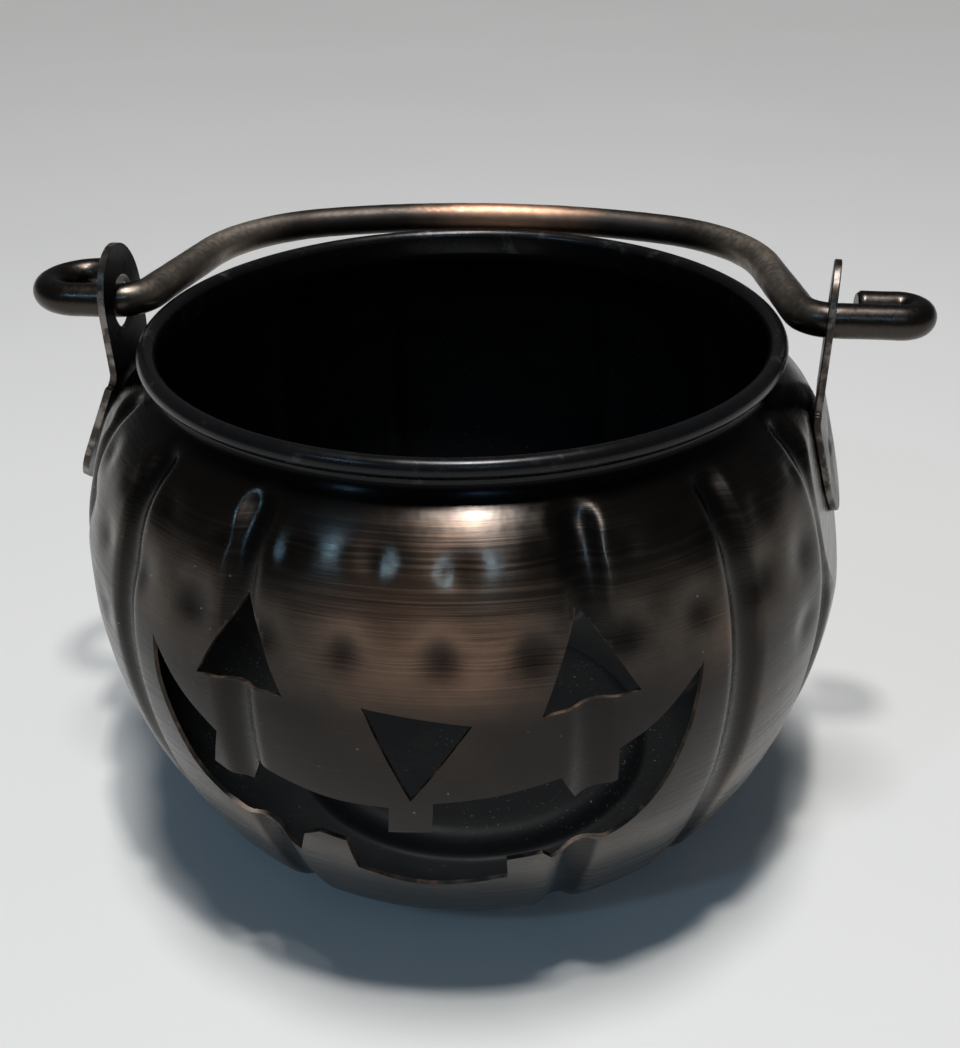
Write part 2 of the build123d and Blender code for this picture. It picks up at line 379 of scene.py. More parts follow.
def dimple_depths(points, lengths, angles):
    depth = np.zeros((len(angles), len(points)))
    radius = points[:, 0][None, :]
    body = points[:, 1] > corner_radius
    for angle, height, size in dimple_places():
        if size == 0:
            continue
        level = nearest_length(points[body], lengths[body], (shell_radius(height), height))
        apart = angle_between(angles, angle)
        across = np.hypot(apart[:, None] * radius, (lengths - level)[None, :])
        depth += dimple_depth * size * np.exp(-(across / (dimple_radius * size)) ** 2)
    return depth


def ear_seat(lean, press):
    # Where the inner face of a paddle touches the shell, pressed in or not.
    return polar(upper_centre, belly_height, upper_radius - press + ear_seat_gap, lean)


def ear_twist(turn):
    # A turned ear is slid back along its own plane, so that its hole stays on the hinge line.
    angle = math.radians(turn)
    back = (ear_inner + ear_sheet / 2) * math.tan(angle)
    return Matrix.Rotation(-angle, 4, "Z") @ Matrix.Translation((0, back, 0))


def flat_depths(points, normals, angles):
    # The flat pressed into the shell under the right ear.
    lean = math.radians(right_ear_lean)
    seat = ear_seat(right_ear_lean, right_ear_press)
    twist = ear_twist(right_ear_turn)
    out = Vector((math.cos(lean), 0, math.sin(lean)))
    spot = np.array(twist @ (Vector((seat[0], 0, seat[1])) - out * ear_seat_gap))
    way = np.array(twist.to_3x3() @ out)
    across = np.sin(angles)[:, None] * way[0] - np.cos(angles)[:, None] * way[1]
    above = across * points[:, 0] + way[2] * points[:, 1] - spot @ way
    facing = np.maximum(across * normals[:, 0] + way[2] * normals[:, 1], flat_least_facing)
    beside = np.where(points[:, 1] > flat_bottom, above, -belly_radius)
    soft = softened(beside, flat_softness)
    return np.where(beside > -flat_reach, soft, 0) / facing


def shell_rows(angles):
    # Rings of (radius, height) on the outside, the bead and the inside, and how far each is pressed in.
    points = meridian()
    normals = outward(points)
    lengths = run_length(points)
    marks = flute_depths(points, lengths, angles) + dimple_depths(points, lengths, angles)
    depth = np.maximum(marks, flat_depths(points, normals, angles))
    under_angle = -math.degrees(math.acos((neck_radius - bead_centre) / bead_radius))
    bead = arc_points(bead_centre, bead_height, bead_radius, under_angle, 180, bead_step)
    unmarked = np.zeros(shell_around)
    outside = []
    inside = []
    for index in range(1, len(points)):
        pressed = depth[:, index][:, None]
        outside.append((points[index] - pressed * normals[index], marks[:, index]))
        inside.append((points[index] - (pressed + sheet) * normals[index], unmarked))
    rim = [(np.tile(place, (shell_around, 1)), unmarked) for place in bead]
    return outside, rim, inside[::-1]


def shell_faces(outside_count, rim_count, inside_count):
    # Faces and their materials: 0 outside, 1 rim, 2 inside. The last two points close the base.
    count = shell_around
    row_count = outside_count + rim_count + inside_count
    under = row_count * count
    over = under + 1
    last = under - count
    faces = []
    zones = []
    for row in range(row_count - 1):
        zone = int(row >= outside_count - 1) + int(row >= outside_count + rim_count)
        for step in range(count):
            after = (step + 1) % count
            start = row * count
            ahead = start + count
            faces.append((start + step, start + after, ahead + after, ahead + step))
            zones.append(zone)
    for step in range(count):
        after = (step + 1) % count
        faces.append((under, after, step))
        zones.append(0)
        faces.append((over, last + step, last + after))
        zones.append(2)
    return faces, zones


def shell_mesh():
    # Angles run from the face round by +X.
    angles = np.arange(shell_around) * 2 * np.pi / shell_around
    outside, rim, inside = shell_rows(angles)
    rows = outside + rim + inside
    grid = np.array([places for places, marks in rows])
    press = np.concatenate([marks for places, marks in rows] + [[0, 0]])
    east = np.sin(angles)[None, :] * grid[:, :, 0]
    north = -np.cos(angles)[None, :] * grid[:, :, 0]
    verts = np.stack([east, north, grid[:, :, 1]], axis=2).reshape(-1, 3)
    verts = np.vstack([verts, [[0, 0, plateau_rise], [0, 0, plateau_rise + sheet]]])
    faces, zones = shell_faces(len(outside), len(rim), len(inside))
    mesh = bpy.data.meshes.new("pail_shell_look")
    mesh.from_pydata(verts.tolist(), [], faces)
    mesh.polygons.foreach_set("material_index", zones)
    attribute = mesh.attributes.new("press", "FLOAT", "POINT")
    attribute.data.foreach_set("value", (press / flute_depth).astype(np.float32))
    return mesh


# Cut-out face

def mouth_strokes():
    strokes = []
    last = left_tip_share
    for tooth, bow in zip(upper_tooth_shares, upper_lip_shares):
        strokes.append((last, bow, tooth[0]))
        strokes.extend(zip(tooth[:-1], tooth[1:]))
        last = tooth[-1]
    strokes.append((last, upper_lip_shares[-1], right_tip_share))
    right_tooth, left_tooth = lower_tooth_shares
    strokes.append((right_tip_share, *right_cheek_shares, right_tooth[0]))
    strokes.extend(zip(right_tooth[:-1], right_tooth[1:]))
    strokes.append((right_tooth[-1], chin_share, left_tooth[0]))
    strokes.extend(zip(left_tooth[:-1], left_tooth[1:]))
    strokes.append((left_tooth[-1], *left_cheek_shares, left_tip_share))
    return strokes


def straight_strokes(corners):
    return [(corners[step - 1], corners[step]) for step in range(len(corners))]


def face_point(share):
    # Seen from the middle of the belly and laid on a flat sheet in front of it.
    angle = math.radians(face_half_angle * share[0])
    height = face_bottom + face_height * share[1]
    slope = (height - belly_height) / (shell_radius(height) * math.cos(angle))
    return np.array([belly_radius * math.tan(angle), belly_radius * slope])


def smooth_run(points):
    # A curve through the points, with its ends carried on straight as outer handles.
    padded = [2 * points[0] - points[1], *points, 2 * points[-1] - points[-2]]
    run = []
    for index in range(1, len(padded) - 2):
        a, b, c, d = padded[index - 1:index + 3]
        for step in range(curve_steps):
            t = step / curve_steps
            lead = 2 * b + (c - a) * t
            bend = (2 * a - 5 * b + 4 * c - d) * t ** 2
            twist = (3 * b - a - 3 * c + d) * t ** 3
            run.append((lead + bend + twist) / 2)
    return run


def outline(strokes):
    points = []
    for stroke in strokes:
        places = [face_point(share) for share in stroke]
        if len(places) == 2:
            points.append(places[0])
        else:
            points.extend(smooth_run(places))
    return points


def cutter(name, strokes, edge_index):
    # A pyramid from inside the pail to the front of it, with the outline of a cut-out.
    flat = outline(strokes)
    mesh = bmesh.new()
    rings = []
    for scale in (cut_near_share, cut_far_share):
        ring = []
        for place in flat:
            spot = (place[0] * scale, -belly_radius * scale, belly_height + place[1] * scale)
            ring.append(mesh.verts.new(spot))
        rings.append(ring)
    near, far = rings
    count = len(flat)
    for step in range(count):
        after = (step + 1) % count
        mesh.faces.new((near[step], near[after], far[after], far[step]))
    ends = [mesh.faces.new(near), mesh.faces.new(far)]
    bmesh.ops.triangulate(mesh, faces=[face for face in ends if len(face.verts) > 4])
    bmesh.ops.recalc_face_normals(mesh, faces=mesh.faces)
    for face in mesh.faces:
        face.material_index = edge_index
    data = bpy.data.meshes.new(name)
    mesh.to_mesh(data)
    mesh.free()
    return bpy.data.objects.new(name, data)


def apply_cut(target, tool):
    scene_objects = bpy.context.scene.collection.objects
    scene_objects.link(tool)
    for material in target.data.materials:
        tool.data.materials.append(material)
    modifier = target.modifiers.new("cut", "BOOLEAN")
    modifier.operation = "DIFFERENCE"
    modifier.solver = "MANIFOLD"
    modifier.object = tool
    bpy.context.view_layer.update()
    view = bpy.context.evaluated_depsgraph_get()
    result = bpy.data.meshes.new_from_object(target.evaluated_get(view))
    target.modifiers.clear()
    old = target.data
    target.data = result
    bpy.data.meshes.remove(old)
    data = tool.data
    bpy.data.objects.remove(tool)
    bpy.data.meshes.remove(data)


def smooth_by_angle(mesh, angle):
    mesh.polygons.foreach_set("use_smooth", [True] * len(mesh.polygons))
    mesh.set_sharp_from_angle(angle=math.radians(angle))


# Node helpers

def feed(tree, socket, value):
    # Links another node's output, or sets a plain value.
    if isinstance(value, bpy.types.NodeSocket):
        tree.links.new(value, socket)
    else:
        socket.default_value = value


def node(tree, kind, settings=None, **inputs):
    made = tree.nodes.new(kind)
    for name, value in (settings or {}).items():
        setattr(made, name, value)
    for name, value in inputs.items():
        feed(tree, made.inputs[name.replace("_", " ")], value)
    return made


def new_material(name):
    # The material, its nodes, its shader and the place on the object.
    material = bpy.data.materials.new(name)
    material.use_nodes = True
    tree = material.node_tree
    tree.nodes.clear()
    output = tree.nodes.new("ShaderNodeOutputMaterial")
    shader = tree.nodes.new("ShaderNodeBsdfPrincipled")
    tree.links.new(shader.outputs[0], output.inputs[0])
    place = node(tree, "ShaderNodeTexCoord").outputs["Object"]
    return material, tree, shader, place


def noise(tree, place, scale, detail, roughness):
    settings = {"Scale": scale, "Detail": detail, "Roughness": roughness}
    return node(tree, "ShaderNodeTexNoise", Vector=place, **settings).outputs["Fac"]


def stretched(tree, place, scale):
    return node(tree, "ShaderNodeMapping", Vector=place, Scale=scale).outputs[0]


def ramp(tree, value, low, high, low_out, high_out):
    made = node(tree, "ShaderNodeMapRange", {"interpolation_type": "SMOOTHSTEP"}, Value=value)
    made.inputs["From Min"].default_value = low
    made.inputs["From Max"].default_value = high
    made.inputs["To Min"].default_value = low_out
    made.inputs["To Max"].default_value = high_out
    return made.outputs[0]


def math_node(tree, operation, first, second=0.0):
    made = node(tree, "ShaderNodeMath", {"operation": operation})
    feed(tree, made.inputs[0], first)
    feed(tree, made.inputs[1], second)
    return made.outputs[0]


def product(tree, first, second):
    return math_node(tree, "MULTIPLY", first, second)


def mix_colour(tree, share, first, second):
    made = node(tree, "ShaderNodeMix", {"data_type": "RGBA"})
    slots = (made.inputs["Factor"], made.inputs[6], made.inputs[7])
    for socket, value in zip(slots, (share, first, second)):
        feed(tree, socket, value)
    return made.outputs[2]


def bump(tree, height, distance, strength, normal=None):
    made = node(tree, "ShaderNodeBump", Height=height, Distance=distance, Strength=strength)
    if normal is not None:
        tree.links.new(normal, made.inputs["Normal"])
    return made.outputs[0]


def near_spot(tree, place, spot, reach):
    # 1 at the spot, fading to 0 at its reach.
    gap = node(tree, "ShaderNodeVectorMath", {"operation": "DISTANCE"})
    tree.links.new(place, gap.inputs[0])
    gap.inputs[1].default_value = spot
    return ramp(tree, gap.outputs["Value"], 0.0, reach, 1.0, 0.0)


def finish(tree, shader, base, metallic, rough, normal):
    tree.links.new(base, shader.inputs["Base Color"])
    shader.inputs["Metallic"].default_value = metallic
    tree.links.new(rough, shader.inputs["Roughness"])
    tree.links.new(normal, shader.inputs["Normal"])


def colour(red, green, blue):
    return (red, green, blue, 1.0)


# Colours

# Dark patina, also used as painted shade on the lower belly and on the shoulder.
patina_and_shade = colour(0.026, 0.024, 0.023)
brown = colour(0.100, 0.083, 0.069)
steel_brown = colour(0.19, 0.178, 0.165)
copper = colour(0.38, 0.225, 0.15)
bright_copper = colour(0.56, 0.32, 0.21)
black = colour(0.010, 0.010, 0.011)
pitch_black = colour(0.0030, 0.0036, 0.0042)
grey = colour(0.20, 0.195, 0.185)
worn = colour(0.30, 0.27, 0.24)
bronze = colour(0.44, 0.375, 0.31)
dark_bronze = colour(0.055, 0.046, 0.040)
floor_dark = colour(0.72, 0.715, 0.70)
floor_light = colour(0.78, 0.775, 0.76)
room_grey = colour(0.62, 0.64, 0.67)

# In the values of each material below, a noise is (scale per metre, detail, roughness),
# a ramp is (from, to, value at from, value at to) and a bump is (distance, strength).

# Antique copper of the shell
brush_stretch = (10.0, 10.0, 1500.0)
grain_stretch = (35.0, 35.0, 3200.0)
scratch_stretch = (90.0, 90.0, 900.0)
brush_noise = (1.0, 4.0, 0.6)
grain_noise = (1.0, 3.0, 0.6)
scratch_noise = (1.0, 1.0, 0.5)
copper_clouds = (22.0, 5.0, 0.6)
copper_patches = (60.0, 4.0, 0.65)
# Forehead spot: worn copper that is also a painted sheen on the front of the belly. Cheek spot: worn
# copper.
forehead_sheen_spot = (0.002, -0.092, 0.102)
forehead_sheen_reach = 0.050
cheek_spot = (0.066, -0.070, 0.070)
cheek_reach = 0.045
cheek_share = 0.6
rubbed_and_sheen_share = 0.7
cloud_wear = (0.40, 0.75, 0.0, 0.35)
brush_wear = (0.25, 0.70, 0.65, 1.0)
patch_brown = (0.3, 0.75, 0.45, 1.0)
wear_and_sheen_copper = (0.15, 1.05, 0.0, 1.0)
# Painted shade: a darker band round the lower belly, rising above the chin and fading out below the second
# row of dimples.
shade_band_rise = (0.040, 0.056, 0.0, 1.0)
shade_band_fall = (0.083, 0.101, 0.9, 0.0)
# Painted reflection: the chin at the bottom of the belly lighter, in steel brown.
chin_reflection_fall = (0.034, 0.050, 0.8, 0.0)
sunk_dark = (0.10, 0.55, 0.0, 0.85)
# Painted shade: the top of the shoulder darker, towards patina.
shoulder_shade = (0.1130, 0.1240, 0.0, 0.45)
neck_dark = (0.1235, 0.1275, 0.0, 1.0)
scratch_middle = 0.5
scratch_fall = (0.0, 0.006, 1.0, 0.0)
scratch_patch = (0.62, 0.72, 0.0, 1.0)
dot_scale = 210.0
dot_fall = (0.042, 0.07, 1.0, 0.0)
dot_clouds = (0.45, 0.62, 0.0, 1.0)
mark_share = 0.7
copper_rough = (0.25, 0.75, 0.20, 0.30)
copper_brushing = 0.80
copper_brush_turn = 0.25
dent_bump = (0.0012, 0.22)
grain_bump = (0.00006, 0.5)


def copper_wear_and_sheen(tree, place, clouds, streaks):
    # Most on the forehead and the right cheek, broken up by clouds and brush lines. The cheek is worn
    # copper; on the forehead the copper is worn and also a painted sheen.
    forehead_sheen = near_spot(tree, place, forehead_sheen_spot, forehead_sheen_reach)
    cheek = product(tree, near_spot(tree, place, cheek_spot, cheek_reach), cheek_share)
    rubbed_and_sheen = product(tree, math_node(tree, "MAXIMUM", forehead_sheen, cheek), rubbed_and_sheen_share)
    wear_and_sheen = math_node(tree, "ADD", rubbed_and_sheen, ramp(tree, clouds, *cloud_wear))
    return product(tree, wear_and_sheen, ramp(tree, streaks, *brush_wear))


def copper_marks(tree, place, clouds, patches):
    # Fine scratches and specks.
    field = noise(tree, stretched(tree, place, scratch_stretch), *scratch_noise)
    line = math_node(tree, "ABSOLUTE", math_node(tree, "SUBTRACT", field, scratch_middle))
    scratches = product(tree, ramp(tree, line, *scratch_fall), ramp(tree, patches, *scratch_patch))
    cells = node(tree, "ShaderNodeTexVoronoi", Vector=place, Scale=dot_scale)
    dots = ramp(tree, cells.outputs["Distance"], *dot_fall)
    dots = product(tree, dots, ramp(tree, clouds, *dot_clouds))
    return product(tree, math_node(tree, "MAXIMUM", scratches, dots), mark_share)


def copper_material():
    material, tree, shader, place = new_material("antique_copper")
    height = node(tree, "ShaderNodeSeparateXYZ", Vector=place).outputs["Z"]
    press = node(tree, "ShaderNodeAttribute", {"attribute_name": "press"}).outputs["Fac"]
    streaks = noise(tree, stretched(tree, place, brush_stretch), *brush_noise)
    grain = noise(tree, stretched(tree, place, grain_stretch), *grain_noise)
    clouds = noise(tree, place, *copper_clouds)
    patches = noise(tree, place, *copper_patches)
    wear_and_sheen = copper_wear_and_sheen(tree, place, clouds, streaks)
    shade_band = product(tree, ramp(tree, height, *shade_band_rise), ramp(tree, height, *shade_band_fall))
    base = mix_colour(tree, ramp(tree, patches, *patch_brown), patina_and_shade, brown)
    # Copper where worn, and on the forehead also a painted sheen.
    base = mix_colour(tree, ramp(tree, wear_and_sheen, *wear_and_sheen_copper), base, copper)
    # Painted shade on the lower belly.
    base = mix_colour(tree, shade_band, base, patina_and_shade)
    # Painted reflection on the chin.
    base = mix_colour(tree, ramp(tree, height, *chin_reflection_fall), base, steel_brown)
    base = mix_colour(tree, ramp(tree, press, *sunk_dark), base, patina_and_shade)
    # Painted shade on the shoulder.
    base = mix_colour(tree, ramp(tree, height, *shoulder_shade), base, patina_and_shade)
    base = mix_colour(tree, copper_marks(tree, place, clouds, patches), base, worn)
    base = mix_colour(tree, ramp(tree, height, *neck_dark), base, black)
    normal = bump(tree, grain, *grain_bump, bump(tree, clouds, *dent_bump))
    finish(tree, shader, base, 1.0, ramp(tree, streaks, *copper_rough), normal)
    shader.inputs["Anisotropic"].default_value = copper_brushing
    shader.inputs["Anisotropic Rotation"].default_value = copper_brush_turn
    tangent = node(tree, "ShaderNodeTangent", {"direction_type": "RADIAL", "axis": "Z"})
    tree.links.new(tangent.outputs[0], shader.inputs["Tangent"])
    return material


def rubbed_material(name, rub_noise, rub_ramp, colours, metallic, rough_ramp, rub_bump):
    # Two colours, with the second one where the surface is rubbed.
    material, tree, shader, place = new_material(name)
    rub = noise(tree, place, *rub_noise)
    base = mix_colour(tree, ramp(tree, rub, *rub_ramp), *colours)
    rough = ramp(tree, rub, *rough_ramp)
    finish(tree, shader, base, metallic, rough, bump(tree, rub, *rub_bump))
    return material


# Black bead of the rim
rim_noise = (120.0, 4.0, 0.7)
rim_rub = (0.58, 0.75, 0.0, 0.35)
rim_metallic = 0.6
rim_rough = (0.3, 0.8, 0.22, 0.34)
rim_bump = (0.0001, 0.2)


def bead_material():
    colours = (black, grey)
    return rubbed_material("rim_black", rim_noise, rim_rub, colours, rim_metallic, rim_rough, rim_bump)


# Edges of the cut-outs
edge_noise = (220.0, 4.0, 0.6)
edge_rub = (0.45, 0.70, 0.0, 0.6)
edge_metallic = 1.0
edge_rough = (0.3, 0.7, 0.35, 0.55)
edge_bump = (0.0001, 0.4)


def edge_material():
    colours = (brown, copper)
    return rubbed_material("cut_edge", edge_noise, edge_rub, colours, edge_metallic, edge_rough, edge_bump)


# Rubbed edges of the ears
worn_noise = (170.0, 4.0, 0.65)
worn_rub = (0.44, 0.64, 0.0, 1.0)
worn_metallic = 0.9
worn_rough = (0.3, 0.7, 0.28, 0.5)
worn_bump = (0.0001, 0.4)


def worn_material():
    colours = (dark_bronze, worn)
    return rubbed_material(
        "ear_worn_edge", worn_noise, worn_rub, colours, worn_metallic, worn_rough, worn_bump
    )


# Dusty black of the inside
dust_noise = (900.0, 3.0, 0.7)
inside_clouds = (30.0, 4.0, 0.6)
dust_specks = (0.62, 0.75, 0.0, 1.0)
dust_clouds = (0.40, 0.65, 0.0, 0.5)
inside_specular = 0.15
inside_rough = (0.3, 0.7, 0.50, 0.65)
inside_bump = (0.0008, 0.2)


def inside_material():
    material, tree, shader, place = new_material("inside_black")
    dust = noise(tree, place, *dust_noise)
    clouds = noise(tree, place, *inside_clouds)
    specks = product(tree, ramp(tree, dust, *dust_specks), ramp(tree, clouds, *dust_clouds))
    base = mix_colour(tree, specks, pitch_black, grey)
    rough = ramp(tree, clouds, *inside_rough)
    finish(tree, shader, base, 0.0, rough, bump(tree, clouds, *inside_bump))
    shader.inputs["Specular IOR Level"].default_value = inside_specular
    return material


# Dark bronze of the bail, with the tone of its legs and ends by the distance from the middle. The lighter
# legs are a painted reflection, and the dark span between the legs and the crown is painted shade.
hammer_noise = (130.0, 3.0, 0.5)
rod_noise = (700.0, 4.0, 0.6)
rod_clouds = (45.0, 4.0, 0.6)
leg_sheen_rise = (0.058, 0.076, 0.0, 1.0)
end_rise = (0.076, 0.090, 0.0, 1.0)
end_gloss = (0.076, 0.090, 1.0, 0.62)
# Crown spot: rubbed copper that is also a painted highlight on top of the crown.
crown_rub_and_highlight_spot = (0.004, 0.083, 0.1405)
crown_rub_and_highlight_reach = 0.036
crown_clouds = (0.32, 0.55, 0.35, 1.0)
leg_clouds = (0.30, 0.62, 0.45, 1.0)
flake_hammer = (0.66, 0.72, 0.0, 1.0)
flake_clouds = (0.55, 0.70, 0.0, 0.6)
rod_rough = (0.3, 0.7, 0.41, 0.53)
rod_bump = (0.0001, 0.2)
hammer_bump = (0.0006, 0.25)


def bail_material():
    material, tree, shader, place = new_material("bail_bronze")
    hammer = noise(tree, place, *hammer_noise)
    fine = noise(tree, place, *rod_noise)
    clouds = noise(tree, place, *rod_clouds)
    along = node(tree, "ShaderNodeSeparateXYZ", Vector=place).outputs["X"]
    aside = math_node(tree, "ABSOLUTE", along)
    # Painted reflection on the legs, painted shade on the span.
    leg_sheen = product(tree, ramp(tree, aside, *leg_sheen_rise), ramp(tree, clouds, *leg_clouds))
    crown = near_spot(tree, place, crown_rub_and_highlight_spot, crown_rub_and_highlight_reach)
    rubbed_and_sheen = product(tree, crown, ramp(tree, clouds, *crown_clouds))
    flakes = product(tree, ramp(tree, hammer, *flake_hammer), ramp(tree, clouds, *flake_clouds))
    base = mix_colour(tree, leg_sheen, dark_bronze, bronze)
    base = mix_colour(tree, ramp(tree, aside, *end_rise), base, dark_bronze)
    # Rubbed copper and painted highlight on the crown.
    base = mix_colour(tree, rubbed_and_sheen, base, bright_copper)
    base = mix_colour(tree, flakes, base, worn)
    rough = product(tree, ramp(tree, fine, *rod_rough), ramp(tree, aside, *end_gloss))
    normal = bump(tree, fine, *rod_bump, bump(tree, hammer, *hammer_bump))
    finish(tree, shader, base, 1.0, rough, normal)
    return material


# Blackened sheet of the ears
ear_noise = (420.0, 5.0, 0.65)
ear_clouds = (90.0, 4.0, 0.6)
scuff_noise = (0.55, 0.72, 0.0, 1.0)
scuff_clouds = (0.45, 0.65, 0.0, 0.4)
ear_metallic = 0.7
ear_rough = (0.3, 0.7, 0.26, 0.42)
ear_bump = (0.0002, 0.3)


def ear_material():
    material, tree, shader, place = new_material("ear_black")
    fine = noise(tree, place, *ear_noise)
    clouds = noise(tree, place, *ear_clouds)
    scuffs = product(tree, ramp(tree, fine, *scuff_noise), ramp(tree, clouds, *scuff_clouds))
    base = mix_colour(tree, scuffs, black, grey)
    rough = ramp(tree, clouds, *ear_rough)
    finish(tree, shader, base, ear_metallic, rough, bump(tree, fine, *ear_bump))
    return material


# Pale floor
floor_clouds = (3.0, 3.0, 0.5)
floor_rough = 0.55
floor_specular = 0.2


def floor_material():
    material, tree, shader, place = new_material("floor_pale")
    base = mix_colour(tree, noise(tree, place, *floor_clouds), floor_dark, floor_light)
    tree.links.new(base, shader.inputs["Base Color"])
    shader.inputs["Roughness"].default_value = floor_rough
    shader.inputs["Specular IOR Level"].default_value = floor_specular
    return material


# Pieces

def add_object(name, data):
    made = bpy.data.objects.new(name, data)
    bpy.context.scene.collection.objects.link(made)
    return made


def make_shell():
    shell = add_object("pail_shell_look", shell_mesh())
    for material in (copper_material(), bead_material(), inside_material(), edge_material()):
        shell.data.materials.append(material)
    edge_index = len(shell.data.materials) - 1
    for index, corners in enumerate((left_eye_shares, right_eye_shares, nose_shares)):
        apply_cut(shell, cutter(f"cut_{index}", straight_strokes(corners), edge_index))
    apply_cut(shell, cutter("cut_mouth", mouth_strokes(), edge_index))
    smooth_by_angle(shell.data, shell_sharp_angle)
    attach(shell, "pail")
    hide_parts("pail_shell")


def bail_half_path(radius, turn, tail):
    # From the middle of the crown to the cut end of one curl.
    lean_x = math.sin(math.radians(leg_lean))
    lean_y = math.cos(math.radians(leg_lean))
    leg_x = rod_bend_start - rod_bend_radius * lean_y
    leg_y = rod_bend_radius - rod_bend_radius * lean_x
    crown_y = bail_reach - bail_crown_radius
    gap_x = leg_x - bail_corner_radius * lean_y
    gap_y = leg_y - bail_corner_radius * lean_x - crown_y
    along = gap_y * lean_y - gap_x * lean_x
    reach = bail_crown_radius - bail_corner_radius
    leg_length = math.sqrt(along ** 2 - gap_x ** 2 - gap_y ** 2 + reach ** 2) - along
    corner_x = gap_x - leg_length * lean_x
    corner_y = gap_y + leg_length * lean_y
    crown_angle = math.degrees(math.atan2(corner_y, corner_x))
    corner_y = corner_y + crown_y
    crown = arc_points(0, crown_y, bail_crown_radius, 90, crown_angle, rod_step)
    corner = arc_points(corner_x, corner_y, bail_corner_radius, crown_angle, leg_lean, rod_step)
    bend = arc_points(rod_bend_start, rod_bend_radius, rod_bend_radius, leg_lean - 180, -90, rod_step)
    leg = line_points(corner[-1], bend[0], rod_step)
    curl = arc_points(curl_end - radius, radius, radius, -90, turn - 90, rod_step)
    reach_out = line_points(bend[-1], curl[0], rod_step)
    way = math.radians(turn)
    end = (curl[-1][0] + tail * math.cos(way), curl[-1][1] + tail * math.sin(way))
    tip = line_points(curl[-1], end, rod_step)
    flat = joined([crown, corner, leg, bend, reach_out, curl, tip])
    return [Vector((x, y, hinge_height)) for x, y in flat]


def rod_frames(path):
    # Each place on the path with two directions across it.
    side = Vector((0, 0, 1))
    frames = []
    for index, spot in enumerate(path):
        before = path[max(index - 1, 0)]
        after = path[min(index + 1, len(path) - 1)]
        way = (after - before).normalized()
        side = (side - way * side.dot(way)).normalized()
        frames.append((spot, side.copy(), way.cross(side)))
    return frames


def hammered(length):
    # Smooth unevenness between 0 and 1 along and round the rod.
    facets = np.random.default_rng(hammer_seed).random((length, rod_around))
    for pass_number in range(hammer_passes):
        for axis in (0, 1):
            facets = (facets + np.roll(facets, 1, axis) + np.roll(facets, -1, axis)) / 3
    return (facets - facets.min()) / (facets.max() - facets.min())


def rod_mesh(name, path):
    facets = hammered(len(path))
    mesh = bmesh.new()
    rings = []
    for index, (spot, side, across) in enumerate(rod_frames(path)):
        end_round = rod_end_round if index in (0, len(path) - 1) else 0
        ring = []
        for step in range(rod_around):
            turn = 2 * math.pi * step / rod_around
            radius = rod_radius - hammer_depth * facets[index, step] - end_round
            way = side * math.cos(turn) + across * math.sin(turn)
            ring.append(mesh.verts.new(spot + way * radius))
        rings.append(ring)
    for first, second in zip(rings[:-1], rings[1:]):
        for step in range(rod_around):
            after = (step + 1) % rod_around
            mesh.faces.new((first[step], first[after], second[after], second[step]))
    mesh.faces.new(rings[0][::-1])
    mesh.faces.new(rings[-1])
    bmesh.ops.recalc_face_normals(mesh, faces=mesh.faces)
    data = bpy.data.meshes.new(name)
    mesh.to_mesh(data)
    mesh.free()
    return data


def make_bail():
    left = [Vector((-spot.x, spot.y, spot.z)) for spot in bail_half_path(*left_curl)]
    right = bail_half_path(*right_curl)
    bail = add_object("bail_look", rod_mesh("bail_look", left[::-1] + right[1:]))
    bail.data.materials.append(bail_material())
    smooth_by_angle(bail.data, rod_sharp_angle)
    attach(bail, "handle")
    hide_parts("bail")


def ear_section(height, lean, press):
    # Inner face of the ear at a height, and the way its sheet faces there.
    seat = ear_seat(lean, press)
    out_x = math.cos(math.radians(lean))
    out_z = math.sin(math.radians(lean))
    bend_x = ear_inner + ear_sheet + ear_bend_radius
    big = ear_bend_radius + ear_sheet
    bend_z = seat[1] + (big - (bend_x - seat[0]) * out_x) / out_z
    if height >= bend_z:
        return ear_inner, (1.0, 0.0)
    if height >= bend_z - big * out_z:
        drop = (bend_z - height) / big
        return bend_x - big * math.sqrt(1 - drop ** 2), (math.sqrt(1 - drop ** 2), drop)
    return seat[0] - (height - seat[1]) * out_z / out_x, (out_x, out_z)


def ear_loops():
    # Outline and hole in Y and Z.
    paddle_turn = ear_bottom_height + ear_paddle_half_width
    half = ear_paddle_half_width
    neck = ear_neck_half_width
    level = ear_shoulder_height
    head = []
    for index in range(ear_head_steps + 1):
        turn = math.pi * index / ear_head_steps
        rise = ear_head_rise * math.sin(turn)
        head.append((ear_head_half_width * math.cos(turn), hinge_height + rise))
    runs = [
        head,
        line_points(head[-1], (-neck, level), ear_step),
        line_points((-neck, level), (-half, level), ear_step),
        line_points((-half, level), (-half, paddle_turn), ear_step),
        arc_points(0, paddle_turn, half, 180, 360, ear_step),
        line_points((half, paddle_turn), (half, level), ear_step),
        line_points((half, level), (neck, level), ear_step),
        line_points((neck, level), head[0], ear_step),
    ]
    rim = joined(runs)
    hole = arc_points(0, hinge_height, ear_hole_radius, 0, 360, ear_hole_step)
    return rim[:-1], hole[:-1]


def weld_rings(lean):
    # Rings of the pressed weld mark from its rim inward, seen from the side of the ear.
    flat = math.cos(math.radians(lean))
    rings = []
    for share in weld_ring_shares:
        radius = weld_radius * share
        ring = arc_points(0, 0, radius, 0, 360, radius / weld_arc_steps)[:-1]
        rings.append([(y, weld_height + z * flat) for y, z in ring])
    return rings


